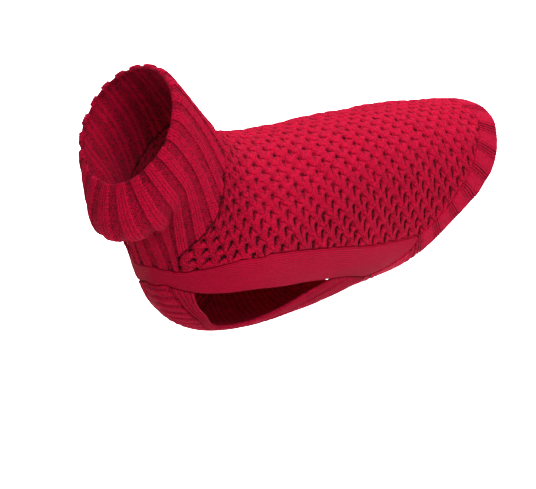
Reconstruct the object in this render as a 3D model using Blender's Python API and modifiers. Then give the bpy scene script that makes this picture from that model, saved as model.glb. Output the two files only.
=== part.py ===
"""Dog sweater: a knitted pullover in the shape it takes when worn, hollow and open at neck, legs and rump.

Head end towards -X, rump towards +X, up +Z; the dog's left side is -Y. The origin is inside the back panel,
at the top of the back, where the wearer carries the sweater. Symmetric pieces are modelled on the dog's left
and mirrored over Y = 0.
"""
import bpy
import numpy as np

MM = 0.001
SEAM_GAP = 0.3 * MM  # between two sewn pieces
BACK_WALL = 2.2 * MM
BACK_BUMP = 1.7 * MM  # how far the honeycomb's crossings stand out
RIB_WALL = 2.2 * MM
RIB_RISE = 1.1 * MM
JERSEY_WALL = 2.4 * MM
TRIM_WALL = 2.2 * MM
TRIM_RISE = 0.7 * MM
BELLY_WALL = 2.0 * MM
BELLY_RISE = 1.0 * MM
MIRROR_MERGE = 0.00005

# One ring of a general dog's figure a row, rump to head, in mm. A ring stands in the plane through its top
# and low points; widest is how far down the ring its half width lies; crown and keel are the exponents of
# its upper and lower halves (2 is an ellipse, more is squarer).
RINGS = (
    # top_x, top_z, low_x, low_z, half_width, widest, crown, keel
    (236, -49, 208, -135, 44, 0.50, 2.0, 2.0),
    (198, -17, 176, -149, 57, 0.50, 2.1, 2.2),
    (146, -8, 134, -155, 64, 0.52, 2.2, 2.3),
    (80, -2, 74, -157, 67, 0.52, 2.2, 2.3),
    (0, 0, -2, -159, 70, 0.53, 2.2, 2.3),
    (-60, 0, -62, -165, 73, 0.54, 2.2, 2.2),
    (-125, 1, -134, -171, 75, 0.56, 2.1, 2.0),
    (-172, 7, -205, -165, 75, 0.58, 2.0, 1.9),
    (-192, 15, -246, -138, 66, 0.57, 2.0, 1.55),
    (-204, 25, -261, -101, 56, 0.54, 2.0, 1.5),
    (-220, 39, -277, -68, 53, 0.52, 2.0, 1.7),
    (-243, 61, -297, -38, 52, 0.50, 2.0, 2.0),
    (-262, 79, -313, -17, 51, 0.50, 2.0, 2.0),
)
NORMAL_RINGS = 0.02  # half the steps over which the outward direction is measured
NORMAL_TURN = 1.0

# Cutting lines as places on the figure: (ring, angle from the top of the back in degrees)
BAND_UPPER = (
    (3.55, 109.5), (4.05, 107), (4.82, 102), (5.34, 96.5), (5.90, 90.5), (6.50, 87), (7.05, 88),
    (7.52, 95.5), (7.94, 110.5), (8.32, 129), (8.66, 147), (9.00, 165), (9.12, 180),
)
BAND_LOWER = (
    (4.50, 135.5), (4.78, 129.5), (5.06, 124), (5.46, 118.7), (5.98, 113.8), (6.55, 111), (7.10, 114),
    (7.54, 125), (7.80, 134), (8.06, 143.5), (8.50, 161), (8.58, 171), (8.62, 180),
)
BAND_END = ((3.55, 109.5), (3.55, 118), (3.70, 127), (3.98, 134), (4.50, 135.5))
NECKLINE = (
    (9.05, 0), (9.03, 45), (9.00, 80), (8.95, 104), (8.99, 122), (9.03, 135), (8.98, 144), (8.66, 147),
)
HEM_BACK = ((1.76, 0), (1.82, 40), (2.14, 59), (2.46, 76), (2.74, 86.5), (3.06, 96), (3.55, 109.5))
HEM_BELLY = ((4.50, 135.5), (4.66, 155), (4.70, 180))
EDGE_BACK = ((1.17, 0), (1.17, 33), (1.46, 63), (1.80, 81.5), (2.36, 95), (2.90, 110), (3.36, 133))
EDGE_SIDE = ((3.36, 133), (3.50, 142.5), (3.74, 150), (4.10, 156))
EDGE_BELLY = ((4.10, 156), (4.20, 167), (4.22, 180))
TRIM_SEAM = (  # between belly panel and leg trim
    (5.06, 124), (5.45, 130), (5.92, 141), (6.45, 157), (7.00, 165), (7.32, 159), (7.64, 156.8),
    (8.12, 157.5), (8.50, 161),
)
LEG_EDGE = (  # where a leg trim ends at the leg opening
    (5.46, 118.7), (5.70, 122), (5.98, 127.5), (6.45, 142), (7.00, 157), (7.38, 151.5), (7.66, 148.5),
    (7.88, 146), (8.06, 143.5),
)
TRIM_REAR, LEG_REAR, LEG_FRONT, TRIM_FRONT = 2, 3, 9, 10  # rows of BAND_LOWER where these lines meet it

# Stations along the seams, shared by the pieces on both sides
FLANK_STEPS = 4  # from one row of the band's tables to the next, beside the back panel
CHEST_STEPS = 2  # the same across the chest
SPINE_EVEN = 0.3  # share of even distances in the spine's stations, the rest lies level with the band's
BACK_ACROSS = 16
BAND_ACROSS = 3
BELLY_ACROSS = 4
HEM_ACROSS = 2
TRIM_STEPS = 24
RIB_STEPS = 2  # rib stations to one station of the seam they end on
LENGTH_SAMPLES = 40
END_FADE = 5  # power with which the form of a piece's end rows fades into it

# The collar from its sewn edge to its rim
COLLAR_TOP = 12.0  # ring of the rim
EVEN_FROM = 0.5  # share of its height from which its stations are evenly spread round the neck
CHIN_SPREAD = 42.0  # half width of the roll below the chin, in degrees round the neck
COLLAR_ROWS = (
    # share of the height, out_mm all round, out_mm at the chin, sag_mm at the chin
    (0.00, 0.0, 0.0, 0.0),
    (0.12, 0.0, 0.0, 0.0),
    (0.24, 0.2, -1.0, 0.0),
    (0.36, 0.5, -3.0, 0.0),
    (0.44, 0.8, 0.0, 3.0),
    (0.52, 1.0, 12.0, 9.0),
    (0.62, 1.2, 24.0, 12.0),
    (0.74, 1.4, 22.0, 5.0),
    (0.88, 1.5, 9.0, 0.0),
    (0.97, 0.6, 1.0, 0.0),
    (1.00, -2.6, -2.6, 0.0),
)

WIDE_RIB = (1.0, 1.0, 0.0, 0.0)  # rise of one rib and its valley, station by station

CRIMSON = (0.62, 0.008, 0.035)
CRIMSON_DEEP = (0.50, 0.007, 0.030)
ROUGHNESS = 0.95


def spline(rows, places):
    """The natural cubic spline through the rows, at the given places counted in rows."""
    rows = np.asarray(rows, float)
    count = len(rows)
    system = np.eye(count)
    right = np.zeros_like(rows)
    for row in range(1, count - 1):
        system[row, row - 1:row + 2] = 1, 4, 1
        right[row] = 6 * (rows[row + 1] - 2 * rows[row] + rows[row - 1])
    bend = np.linalg.solve(system, right)
    low = np.clip(np.floor(places).astype(int), 0, count - 2)
    after = (places - low)[..., None]
    before = 1 - after
    bends = (before**3 - before) * bend[low] + (after**3 - after) * bend[low + 1]
    return before * rows[low] + after * rows[low + 1] + bends / 6


def figure(place):
    """The point of the figure at (ring, angle), on the dog's left for a positive angle."""
    ring = spline(RINGS, place[..., 0])
    turn = np.radians(place[..., 1])
    up, side = np.cos(turn), np.sin(turn)
    power = 2 / np.where(up >= 0, ring[..., 6], ring[..., 7])
    up = np.sign(up) * np.abs(up) ** power
    side = np.sign(side) * np.abs(side) ** power
    widest = ring[..., 5]
    down = np.where(up >= 0, widest * (1 - up), widest - (1 - widest) * up)
    x = ring[..., 0] + down * (ring[..., 2] - ring[..., 0])
    z = ring[..., 1] + down * (ring[..., 3] - ring[..., 1])
    return np.stack((x, -ring[..., 4] * side, z), -1) * MM


def unit(vectors):
    return vectors / np.linalg.norm(vectors, axis=-1, keepdims=True)


def outward(place):
    """The figure's outward direction at (ring, angle)."""
    ring_step = np.array((NORMAL_RINGS, 0.0))
    turn_step = np.array((0.0, NORMAL_TURN))
    along = figure(place + ring_step) - figure(place - ring_step)
    around = figure(place + turn_step) - figure(place - turn_step)
    return unit(np.cross(along, around))


def curve(rows, steps):
    """Places along a table's rows, with this many stations from one row to the next."""
    return spline(rows, np.linspace(0, len(rows) - 1, (len(rows) - 1) * steps + 1))


def spaced(rows, count, last=None):
    """Places along a table's rows, up to the last one named, at even distances on the figure."""
    fine = curve(rows, LENGTH_SAMPLES)
    if last is not None:
        fine = fine[:last * LENGTH_SAMPLES + 1]
    reach = np.linalg.norm(np.diff(figure(fine), axis=0), axis=1)
    reach = np.concatenate(((0.0,), np.cumsum(reach)))
    marks = np.linspace(0, reach[-1], count + 1)
    return np.stack([np.interp(marks, reach, fine[:, axis]) for axis in (0, 1)], -1)


def between(rows, steps):
    """Rows with straight steps put in between each two."""
    marks = np.arange((len(rows) - 1) * steps + 1) / steps
    low = np.minimum(marks.astype(int), len(rows) - 2)
    share = (marks - low)[:, None]
    return rows[low] * (1 - share) + rows[low + 1] * share


def patch(start, end, first, last):
    """Places of a four-sided piece, ruled from first to last column, its end rows fading inwards."""
    along = np.linspace(0, 1, len(first))[:, None, None]
    across = np.linspace(0, 1, len(start))[:, None]
    ruled = (1 - across) * first[:, None] + across * last[:, None]
    return ruled + (1 - along) ** END_FADE * (start - ruled[0]) + along ** END_FADE * (end - ruled[-1])


class Wall:
    """A knitted wall: its inner points and the outward direction at each, on a grid of rows and columns."""

    edges = {
        "first_row": (np.s_[0], np.s_[1]),
        "last_row": (np.s_[-1], np.s_[-2]),
        "first_column": (np.s_[:, 0], np.s_[:, 1]),
        "last_column": (np.s_[:, -1], np.s_[:, -2]),
    }

    def __init__(self, places):
        self.inner = figure(places)
        self.out = outward(places)

    def lay_on(self, edge, seam, steps=1):
        """Lays an edge on the straight stitches between the stations of a seam."""
        where = self.edges[edge][0]
        self.inner[where] = between(figure(seam), steps)
        self.out[where] = unit(between(outward(seam), steps))

    def draw_back(self, *sewn):
        """Draws the sewn edges back by half a seam gap."""
        shift = np.zeros_like(self.inner)
        for edge in sewn:
            where, inside = self.edges[edge]
            shift[where] += SEAM_GAP / 2 * unit(self.inner[inside] - self.inner[where])
        self.inner = self.inner + shift

    def grid(self):
        """Row and column number of every point."""
        return np.indices(self.inner.shape[:2])


def solid(name, wall, thickness, colour, on_middle=(), net=False):
    """Closes a wall into a solid named as its node. Edges on the dog's middle stay open and are mirrored.

    Outer cells are split between their first and third corners; in a net these are the raised ones.
    """
    rows, columns = wall.inner.shape[:2]
    outer = wall.inner + wall.out * thickness[..., None]
    points = np.concatenate((wall.inner.reshape(-1, 3), outer.reshape(-1, 3)))
    inner_of = np.arange(rows * columns).reshape(rows, columns)
    outer_of = inner_of + rows * columns
    faces = []
    for row in range(rows - 1):
        for column in range(columns - 1):
            cell = [(row, column), (row, column + 1), (row + 1, column + 1), (row + 1, column)]
            faces.append([inner_of[corner] for corner in cell])
            if net and (row + column) % 2:
                cell = cell[1:] + cell[:1]
            faces.append([outer_of[corner] for corner in (cell[0], cell[3], cell[2], cell[1])])
    rims = {
        "first_row": (inner_of[0], outer_of[0]),
        "last_row": (inner_of[-1, ::-1], outer_of[-1, ::-1]),
        "first_column": (inner_of[::-1, 0], outer_of[::-1, 0]),
        "last_column": (inner_of[:, -1], outer_of[:, -1]),
    }
    for edge, (inner, outer) in rims.items():
        if edge in on_middle:
            continue
        for low in range(len(inner) - 1):
            faces.append([inner[low + 1], inner[low], outer[low], outer[low + 1]])
    mesh = bpy.data.meshes.new(name)
    mesh.from_pydata(points.tolist(), [], [[int(point) for point in face] for face in faces])
    across = wall.inner[0, 1] - wall.inner[0, 0]
    along = wall.inner[1, 0] - wall.inner[0, 0]
    if np.cross(across, along) @ wall.out[0, 0] > 0:
        mesh.flip_normals()
    piece = bpy.data.objects.new(name, mesh)
    if on_middle:
        mirror = piece.modifiers.new("right_half", "MIRROR")
        mirror.use_axis = (False, True, False)
        mirror.merge_threshold = MIRROR_MERGE
    material = bpy.data.materials.new(name + "_knit")
    material.use_nodes = True
    shader = material.node_tree.nodes["Principled BSDF"]
    shader.inputs["Base Color"].default_value = (*colour, 1.0)
    shader.inputs["Roughness"].default_value = ROUGHNESS
    shader.inputs["Metallic"].default_value = 0.0
    mesh.materials.append(material)
    garment.objects.link(piece)


for leftover in list(bpy.data.objects):
    bpy.data.objects.remove(leftover)
garment = bpy.data.collections.new("dog_sweater")
bpy.context.scene.collection.children.link(garment)

# Seams
flank_upper = spaced(BAND_UPPER, TRIM_FRONT * FLANK_STEPS, TRIM_FRONT)
flank_lower = curve(BAND_LOWER, FLANK_STEPS)[:TRIM_FRONT * FLANK_STEPS + 1]
chest_upper = curve(BAND_UPPER, CHEST_STEPS)[TRIM_FRONT * CHEST_STEPS:]
chest_lower = curve(BAND_LOWER, CHEST_STEPS)[TRIM_FRONT * CHEST_STEPS:]
band_upper = np.concatenate((flank_upper, chest_upper[1:]))
band_lower = np.concatenate((flank_lower, chest_lower[1:]))
band_end = spaced(BAND_END, BAND_ACROSS)
neckline = spaced(NECKLINE, BACK_ACROSS)
hem_back = spaced(HEM_BACK, BACK_ACROSS)
hem_belly = spaced(HEM_BELLY, BELLY_ACROSS)
trim_seam = spaced(TRIM_SEAM, TRIM_STEPS)
leg_edge = spaced(LEG_EDGE, TRIM_STEPS)

# Back panel: neck to hem by rows, top of the back to band by columns, with a honeycomb of raised crossings
back_side = flank_upper[::-1]
spine_ends = np.array((NECKLINE[0], HEM_BACK[0]), float)
level = (back_side[:, :1] - back_side[0, 0]) / (back_side[-1, 0] - back_side[0, 0])
level_spine = spine_ends[0] + level * (spine_ends[1] - spine_ends[0])
even_spine = spaced(spine_ends, len(back_side) - 1)
spine = (1 - SPINE_EVEN) * level_spine + SPINE_EVEN * even_spine
back = Wall(patch(neckline, hem_back, spine, back_side))
back.lay_on("first_row", neckline)
back.lay_on("last_row", hem_back)
back.lay_on("last_column", back_side)
back.draw_back("first_row", "last_row", "last_column")
row, column = back.grid()
inside = (row > 0) & (row < row.max()) & (column < column.max())
crossing = inside & ((row + column) % 2 == 0)
solid("back_panel", back, BACK_WALL + BACK_BUMP * crossing, CRIMSON, on_middle=("first_column",), net=True)

# Border band: its rear end to the middle of the chest by rows, upper to lower edge by columns
chest_middle = spaced((BAND_UPPER[-1], BAND_LOWER[-1]), BAND_ACROSS)
band = Wall(patch(band_end, chest_middle, band_upper, band_lower))
band.draw_back("first_row", "first_column", "last_column")
thickness = np.full(band.inner.shape[:2], JERSEY_WALL)
solid("border_band", band, thickness, CRIMSON_DEEP, on_middle=("last_row",))

# Belly panel: hem to chest by rows, side to middle by columns, ribbed across
belly_side = np.concatenate((flank_lower[:TRIM_REAR * FLANK_STEPS + 1], trim_seam[1:]))
belly_rows = (len(belly_side) - 1) * RIB_STEPS
belly_middle = spaced((HEM_BELLY[-1], BAND_LOWER[-1]), belly_rows)
belly = Wall(patch(hem_belly, chest_lower, between(belly_side, RIB_STEPS), belly_middle))
belly.lay_on("first_row", hem_belly)
belly.lay_on("last_row", chest_lower)
belly.lay_on("first_column", belly_side, RIB_STEPS)
belly.draw_back("first_row", "last_row", "first_column")
row, column = belly.grid()
ribbed = (row % 2 == 1) & (column > 0)
solid("belly_panel", belly, BELLY_WALL + BELLY_RISE * ribbed, CRIMSON_DEEP, on_middle=("last_column",))

# Leg trims: rear to front by rows, belly seam to leg opening by columns, ribbed lengthwise
trim_rear = flank_lower[TRIM_REAR * FLANK_STEPS:LEG_REAR * FLANK_STEPS + 1]
trim_front = flank_lower[LEG_FRONT * FLANK_STEPS:TRIM_FRONT * FLANK_STEPS + 1][::-1]
left_trim = patch(trim_rear, trim_front, trim_seam, leg_edge)
for side, name in ((1, "leg_trim_left"), (-1, "leg_trim_right")):
    trim = Wall(left_trim * np.array((1, side)))
    trim.draw_back("first_row", "last_row", "first_column")
    solid(name, trim, TRIM_WALL + TRIM_RISE * (trim.grid()[1] % 2), CRIMSON_DEEP)

# Rump hem: seam to free edge by rows, top of the back to middle of the belly by columns, ribbed crosswise
hem_seam = np.concatenate((hem_back, band_end[1:], hem_belly[1:]))
edge_side = spaced(EDGE_SIDE, BAND_ACROSS)
edge_belly = spaced(EDGE_BELLY, BELLY_ACROSS)
hem_edge = np.concatenate((spaced(EDGE_BACK, BACK_ACROSS), edge_side[1:], edge_belly[1:]))
depth = np.linspace(0, 1, HEM_ACROSS + 1)[:, None, None]
hem = Wall((1 - depth) * between(hem_seam, RIB_STEPS) + depth * between(hem_edge, RIB_STEPS))
hem.lay_on("first_row", hem_seam, RIB_STEPS)
hem.draw_back("first_row")
rise = np.array(WIDE_RIB)[hem.grid()[1] % len(WIDE_RIB)]
solid("rump_hem", hem, RIB_WALL + RIB_RISE * rise, CRIMSON, on_middle=("first_column", "last_column"))

# Collar: sewn edge to rim by rows, nape to throat by columns, ribbed lengthwise and slumped below the chin
collar_seam = np.concatenate((neckline, chest_upper[1:]))
edge = between(collar_seam, RIB_STEPS)
share, stand_round, stand_chin, sag_chin = np.array(COLLAR_ROWS).T[:, :, None]
ease = np.clip(share / EVEN_FROM, 0, 1)
turns = (1 - ease) * edge[:, 1] + ease * np.linspace(0, 180, len(edge))
collar = Wall(np.stack((edge[:, 0] + share * (COLLAR_TOP - edge[:, 0]), turns), -1))
chin = np.exp(-((turns - 180) / CHIN_SPREAD) ** 2)
stand = stand_round * (1 - chin) + stand_chin * chin
neck_ends = figure(np.array(((NECKLINE[0], (NECKLINE[0][0], 180)), ((COLLAR_TOP, 0), (COLLAR_TOP, 180)))))
neck_axis = unit(np.diff(neck_ends.mean(axis=1), axis=0)[0])
collar.inner = collar.inner + (collar.out * stand[..., None] - neck_axis * (sag_chin * chin)[..., None]) * MM
collar.lay_on("first_row", collar_seam, RIB_STEPS)
up_step = np.gradient(collar.inner, axis=0)
round_step = np.gradient(collar.inner, axis=1)
round_step[:, (0, -1)] *= (0, 1, 0)
collar.out[1:] = unit(np.cross(up_step, round_step))[1:]
collar.draw_back("first_row")
rise = np.array(WIDE_RIB)[collar.grid()[1] % len(WIDE_RIB)]
solid("collar", collar, RIB_WALL + RIB_RISE * rise, CRIMSON, on_middle=("first_column", "last_column"))
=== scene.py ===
"""Looks of the dog sweater: fine knitted shells on the solids' forms, their yarns, floor, light, camera.

Sizes are in millimetres until a mesh is made. The head is towards -X, the rump +X and the dog's left -Y.
"""

import math
from functools import partial, reduce

import bpy
import numpy as np
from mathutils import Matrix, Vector


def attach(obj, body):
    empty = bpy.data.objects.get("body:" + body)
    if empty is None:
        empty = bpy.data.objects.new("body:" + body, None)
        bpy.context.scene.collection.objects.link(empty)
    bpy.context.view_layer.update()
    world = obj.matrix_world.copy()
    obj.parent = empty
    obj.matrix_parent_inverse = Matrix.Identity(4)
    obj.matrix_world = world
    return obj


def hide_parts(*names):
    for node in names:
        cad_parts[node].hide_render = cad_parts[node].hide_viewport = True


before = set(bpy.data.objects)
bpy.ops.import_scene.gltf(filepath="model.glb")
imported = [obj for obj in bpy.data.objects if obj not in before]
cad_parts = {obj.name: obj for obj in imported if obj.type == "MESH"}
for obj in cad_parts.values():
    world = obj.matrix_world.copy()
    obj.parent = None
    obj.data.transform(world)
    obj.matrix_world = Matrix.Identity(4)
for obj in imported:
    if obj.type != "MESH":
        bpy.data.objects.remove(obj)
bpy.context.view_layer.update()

MM = 0.001

# ---------------------------------------------------------------- camera

CAMERA_TURN, CAMERA_RISE = -48.0, 14.0  # azimuth and elevation in degrees
CAMERA_REACH = 2.2  # metres from its target
CAMERA_TARGET = Vector((-0.107, 0.0, -0.1073))
SENSOR = 36.0  # mm
FOCAL_IN_WIDTHS = 2365 / 536  # focal length in picture widths

turn, rise = math.radians(CAMERA_TURN), math.radians(CAMERA_RISE)
toward = Vector((math.sin(turn) * math.cos(rise), -math.cos(turn) * math.cos(rise), math.sin(rise)))
lens = bpy.data.cameras.new("camera")
lens.sensor_width = SENSOR
lens.lens = FOCAL_IN_WIDTHS * SENSOR
camera = bpy.data.objects.new("camera", lens)
camera.location = CAMERA_TARGET + CAMERA_REACH * toward
camera.rotation_euler = toward.to_track_quat("Z", "Y").to_euler()
bpy.context.scene.collection.objects.link(camera)
bpy.context.scene.camera = camera

# ---------------------------------------------------------------- the figure and the cutting lines

# A dog's rings from rump to head. The first five columns are in mm, "widest" is the share of a ring's height
# down from its top where it is widest, and "crown" and "keel" are its roundness above and below that.
RINGS = (
    # top_x, top_z, low_x, low_z, half_width, widest, crown, keel
    (236, -49, 208, -135, 44, 0.50, 2.0, 2.0),
    (198, -17, 176, -149, 57, 0.50, 2.1, 2.2),
    (146, -8, 134, -155, 64, 0.52, 2.2, 2.3),
    (80, -2, 74, -157, 67, 0.52, 2.2, 2.3),
    (0, 0, -2, -159, 70, 0.53, 2.2, 2.3),
    (-60, 0, -62, -165, 73, 0.54, 2.2, 2.2),
    (-125, 1, -134, -171, 75, 0.56, 2.1, 2.0),
    (-172, 7, -205, -165, 75, 0.58, 2.0, 1.9),
    (-192, 15, -246, -138, 66, 0.57, 2.0, 1.55),
    (-204, 25, -261, -101, 56, 0.54, 2.0, 1.5),
    (-220, 39, -277, -68, 53, 0.52, 2.0, 1.7),
    (-243, 61, -297, -38, 52, 0.50, 2.0, 2.0),
    (-262, 79, -313, -17, 51, 0.50, 2.0, 2.0),
)
NORMAL_RINGS, NORMAL_TURN = 0.02, 1.0  # steps over which the outward direction is measured
LEAST_WALL = 0.25  # mm between a shell's faces where its relief is nil

# Cutting lines as places on the figure: (ring, angle from the top of the back in degrees)
BAND_UPPER = (
    (3.55, 109.5), (4.05, 107), (4.82, 102), (5.34, 96.5), (5.90, 90.5), (6.50, 87), (7.05, 88),
    (7.52, 95.5), (7.94, 110.5), (8.32, 129), (8.66, 147), (9.00, 165), (9.12, 180),
)
BAND_LOWER = (
    (4.50, 135.5), (4.78, 129.5), (5.06, 124), (5.46, 118.7), (5.98, 113.8), (6.55, 111), (7.10, 114),
    (7.54, 125), (7.80, 134), (8.06, 143.5), (8.50, 161), (8.58, 171), (8.62, 180),
)
BAND_END = ((3.55, 109.5), (3.55, 118), (3.70, 127), (3.98, 134), (4.50, 135.5))
NECKLINE = (
    (9.05, 0), (9.03, 45), (9.00, 80), (8.95, 104), (8.99, 122), (9.03, 135), (8.98, 144), (8.66, 147),
)
HEM_BACK = ((1.76, 0), (1.82, 40), (2.14, 59), (2.46, 76), (2.74, 86.5), (3.06, 96), (3.55, 109.5))
HEM_BELLY = ((4.50, 135.5), (4.66, 155), (4.70, 180))
EDGE_BACK = ((1.17, 0), (1.17, 33), (1.46, 63), (1.80, 81.5), (2.36, 95), (2.90, 110), (3.36, 133))
EDGE_SIDE = ((3.36, 133), (3.50, 142.5), (3.74, 150), (4.10, 156))
EDGE_BELLY = ((4.10, 156), (4.20, 167), (4.22, 180))
TRIM_SEAM = (
    (5.06, 124), (5.45, 130), (5.92, 141), (6.45, 157), (7.00, 165), (7.32, 159), (7.64, 156.8),
    (8.12, 157.5), (8.50, 161),
)
LEG_EDGE = (
    (5.46, 118.7), (5.70, 122), (5.98, 127.5), (6.45, 142), (7.00, 157), (7.38, 151.5), (7.66, 148.5),
    (7.88, 146), (8.06, 143.5),
)
TRIM_REAR, LEG_REAR, LEG_FRONT, TRIM_FRONT = 2, 3, 9, 10  # rows of the band's lines where each starts or ends
LENGTH_SAMPLES = 40  # stations from one row of a table to the next, where its length is measured
END_FADE = 5  # the power with which a patch's end rows give way to its ruled middle
SPINE_EVEN = 0.3  # share of the spine's spacing that is even, while the rest keeps level with the side

COLLAR_TOP = 12.0  # the rim's ring
EVEN_BY = 0.6  # share of the collar's height by which its ribs stand evenly round
CHIN_SPREAD = 42.0  # degrees to either side of the chin over which the roll runs out
COLLAR_ROWS = (
    # share of the height, out_mm all round, out_mm at the chin, sag_mm at the chin
    (0.00, 0.0, 0.0, 0.0),
    (0.12, 0.0, 0.0, 0.0),
    (0.24, 0.2, -1.0, 0.0),
    (0.36, 0.5, -3.0, 0.0),
    (0.44, 0.8, 0.0, 3.0),
    (0.52, 1.0, 12.0, 9.0),
    (0.62, 1.2, 24.0, 12.0),
    (0.74, 1.4, 22.0, 5.0),
    (0.88, 1.5, 9.0, 0.0),
    (0.97, 0.6, 1.0, 0.0),
    (1.00, -2.6, -2.6, 0.0),
)


def spline(rows, places):
    """The natural cubic spline through the rows, at the given places counted in rows."""
    rows = np.asarray(rows, float)
    count = len(rows)
    system = np.eye(count)
    right = np.zeros_like(rows)
    for row in range(1, count - 1):
        system[row, row - 1:row + 2] = 1, 4, 1
        right[row] = 6 * (rows[row + 1] - 2 * rows[row] + rows[row - 1])
    bend = np.linalg.solve(system, right)
    low = np.clip(np.floor(places).astype(int), 0, count - 2)
    after = (places - low)[..., None]
    before = 1 - after
    bends = (before**3 - before) * bend[low] + (after**3 - after) * bend[low + 1]
    return before * rows[low] + after * rows[low + 1] + bends / 6


def figure(place):
    """The point of the figure at (ring, angle), on the dog's left for a positive angle."""
    ring = spline(RINGS, place[..., 0])
    turn = np.radians(place[..., 1])
    up, side = np.cos(turn), np.sin(turn)
    power = 2 / np.where(up >= 0, ring[..., 6], ring[..., 7])
    up = np.sign(up) * np.abs(up) ** power
    side = np.sign(side) * np.abs(side) ** power
    widest = ring[..., 5]
    down = np.where(up >= 0, widest * (1 - up), widest - (1 - widest) * up)
    x = ring[..., 0] + down * (ring[..., 2] - ring[..., 0])
    z = ring[..., 1] + down * (ring[..., 3] - ring[..., 1])
    return np.stack((x, -ring[..., 4] * side, z), -1)


def unit(arrows):
    """The directions of these vectors."""
    return arrows / np.linalg.norm(arrows, axis=-1, keepdims=True)


def outward(place):
    """The figure's outward direction at (ring, angle)."""
    ring_step = np.array((NORMAL_RINGS, 0.0))
    turn_step = np.array((0.0, NORMAL_TURN))
    along = figure(place + ring_step) - figure(place - ring_step)
    around = figure(place + turn_step) - figure(place - turn_step)
    return unit(np.cross(along, around))


def curve(rows, steps):
    """Places along a table's rows, with this many stations from one row to the next."""
    return spline(rows, np.linspace(0, len(rows) - 1, (len(rows) - 1) * steps + 1))


def spaced(rows, count, first=0, last=None):
    """Places along a table's rows, between the two rows named, at even distances on the figure."""
    fine = curve(rows, LENGTH_SAMPLES)
    last = len(rows) - 1 if last is None else last
    fine = fine[first * LENGTH_SAMPLES:last * LENGTH_SAMPLES + 1]
    reach = distances(figure(fine), 0)
    marks = np.linspace(0, reach[-1], count + 1)
    return np.stack([np.interp(marks, reach, fine[:, axis]) for axis in (0, 1)], -1)


def distances(points, axis):
    """Distance run along one axis of a grid of points, from its start."""
    steps = np.linalg.norm(np.diff(points, axis=axis), axis=-1)
    start = np.zeros_like(np.take(steps, [0], axis=axis))
    return np.cumsum(np.concatenate((start, steps), axis=axis), axis=axis)


def patch(start, end, first, last):
    """Places of a four-sided piece, ruled from first to last column, its end rows fading inwards."""
    along = np.linspace(0, 1, len(first))[:, None, None]
    across = np.linspace(0, 1, len(start))[:, None]
    ruled = (1 - across) * first[:, None] + across * last[:, None]
    return ruled + (1 - along) ** END_FADE * (start - ruled[0]) + along ** END_FADE * (end - ruled[-1])


def both_sides(half, middle_first=True):
    """A half grid of places, its first or last column on the middle, carried on over the middle."""
    if middle_first:
        other = half[:, ::-1] * (1, -1)
        return np.concatenate((other[:, :-1], half), axis=1)
    other = half[:, ::-1] * (1, -1) + (0, 360)
    return np.concatenate((half, other[:, 1:]), axis=1)


# ---------------------------------------------------------------- shells


class Cloth:
    """A knitted wall on a grid of rows and columns, in millimetres: inner points and outward directions."""

    def __init__(self, places):
        self.places = places
        self.inner = figure(places)
        self.out = outward(places)

    def push(self, amount):
        """Moves the cloth outwards by an amount at each point."""
        self.inner = self.inner + self.out * amount[..., None]

    def from_edges(self, *edges):
        """Distance to the nearest of the named edges."""
        rows, columns = distances(self.inner, 0), distances(self.inner, 1)
        reach = {
            "first_row": rows,
            "last_row": rows[-1:] - rows,
            "first_column": columns,
            "last_column": columns[:, -1:] - columns,
        }
        return np.min([reach[edge] for edge in edges], axis=0)


def rounded(distance, radius):
    """Share of the full height at a distance from an edge that is rounded over."""
    near = 1 - np.clip(distance / radius, 0, 1)
    return np.sqrt(1 - near**2)


def smooth(value, low, high):
    """A soft step from 0 at low to 1 at high."""
    share = np.clip((value - low) / (high - low), 0, 1)
    return share * share * (3 - 2 * share)


def vectors(*parts):
    """The parts as one vector at each point of a grid."""
    return np.stack(np.broadcast_arrays(*parts), -1)


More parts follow.
